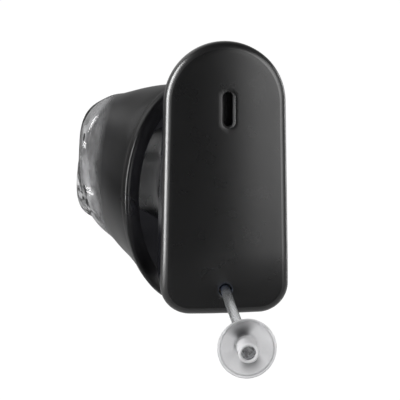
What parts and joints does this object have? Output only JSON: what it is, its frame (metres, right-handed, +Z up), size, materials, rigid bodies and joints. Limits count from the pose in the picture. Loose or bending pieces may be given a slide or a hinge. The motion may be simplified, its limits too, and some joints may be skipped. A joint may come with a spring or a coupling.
{
  "type": "completely-in-canal hearing aid",
  "caption": "Rechargeable hearing aid that sits wholly in the ear canal, with a soft push-on sleeve, a push-in wax guard, and a nylon removal line that ends in a small knob.",
  "frame": {"origin": "on the ear canal's axis, in the mouth of the sleeve", "axes": "-Y is the outward normal of the faceplate, towards whoever looks at the worn aid; +Z runs up the faceplate; +X is to that person's right; the ear canal's axis runs from the origin towards (-0.675, 0.724, -0.139)"},
  "size_m": [0.011, 0.0229, 0.0153],
  "materials": {
    "faceplate": "matt black moulded thermoplastic, fine satin grain",
    "plate_seal": "cured sealing bead",
    "housing_shell": "glossy near-black moulded shell",
    "mic_screen": "fine black woven mesh",
    "mic_boot": "black silicone rubber",
    "microphone": "nickel-plated capsule",
    "charging_coil": "flat copper coil under lacquer",
    "ferrite_sheet": "dark grey sintered ferrite",
    "chassis": "off-white moulded frame",
    "battery_cell": "drawn steel can",
    "battery_tabs": "nickel strip",
    "circuit_board": "green solder mask over laminate",
    "signal_chip": "moulded black package",
    "power_chip": "moulded black package",
    "board_capacitors": "tan ceramic with tinned ends",
    "receiver_can": "plated metal can",
    "receiver_spout": "plated metal tube",
    "receiver_boot": "dark rubber suspension",
    "receiver_bumper": "dark rubber pad",
    "receiver_leads": "enamelled litz wire",
    "wax_guard": "white moulded plug",
    "wax_guard_mesh": "fine steel mesh",
    "wax_guard_seal": "small rubber ring",
    "click_sleeve": "smoke-tinted clear silicone, glossy",
    "sleeve_click_ring": "moulded retaining ring",
    "line_ferrule": "crimped metal tube",
    "pull_line_root": "clear nylon monofilament",
    "pull_line_neck": "clear nylon monofilament",
    "pull_line": "clear nylon monofilament",
    "pull_knob": "frosted translucent moulded knob"
  },
  "bodies": {
    "aid": {"faceplate": "faceplate", "plate_seal": "plate_seal", "housing_shell": "housing_shell", "mic_screen": "mic_screen", "mic_boot": "mic_boot", "microphone": "microphone", "charging_coil": "charging_coil", "ferrite_sheet": "ferrite_sheet", "chassis": "chassis", "battery_cell": "battery_cell", "battery_tabs": "battery_tabs", "circuit_board": "circuit_board", "signal_chip": "signal_chip", "power_chip": "power_chip", "board_capacitors": "board_capacitors", "receiver_can": "receiver_can", "receiver_spout": "receiver_spout", "receiver_boot": "receiver_boot", "receiver_bumper": "receiver_bumper", "receiver_leads": "receiver_leads", "line_ferrule": "line_ferrule", "pull_line_root": "pull_line_root"},
    "sleeve": {"click_sleeve": "click_sleeve", "sleeve_click_ring": "sleeve_click_ring"},
    "guard": {"wax_guard": "wax_guard", "wax_guard_mesh": "wax_guard_mesh", "wax_guard_seal": "wax_guard_seal"},
    "line_base": {"pull_line_neck": "pull_line_neck"},
    "line_end": {"pull_line": "pull_line", "pull_knob": "pull_knob"}
  },
  "joints": [
    {"name": "sleeve_pull_off", "type": "slide", "parent": "aid", "child": "sleeve", "axis": [-0.6754, 0.7242, -0.1392], "range_m": [0, 0.01], "deforming": ["sleeve_click_ring"]},
    {"name": "wax_guard_pull", "type": "slide", "parent": "aid", "child": "guard", "axis": [-0.6754, 0.7242, -0.1392], "range_m": [0, 0.006]},
    {"name": "line_flex_up_down", "type": "hinge", "parent": "aid", "child": "line_base", "pos_m": [0.00095, -0.0058, -0.0057], "axis": [1, 0, 0], "range_deg": [-25, 25], "stiffness_Nm_per_rad": 0.0005},
    {"name": "line_flex_sideways", "type": "hinge", "parent": "line_base", "child": "line_end", "pos_m": [0.00095, -0.00748, -0.00594], "axis": [0, -0.1392, 0.9903], "range_deg": [-25, 25], "stiffness_Nm_per_rad": 0.0005}
  ]
}
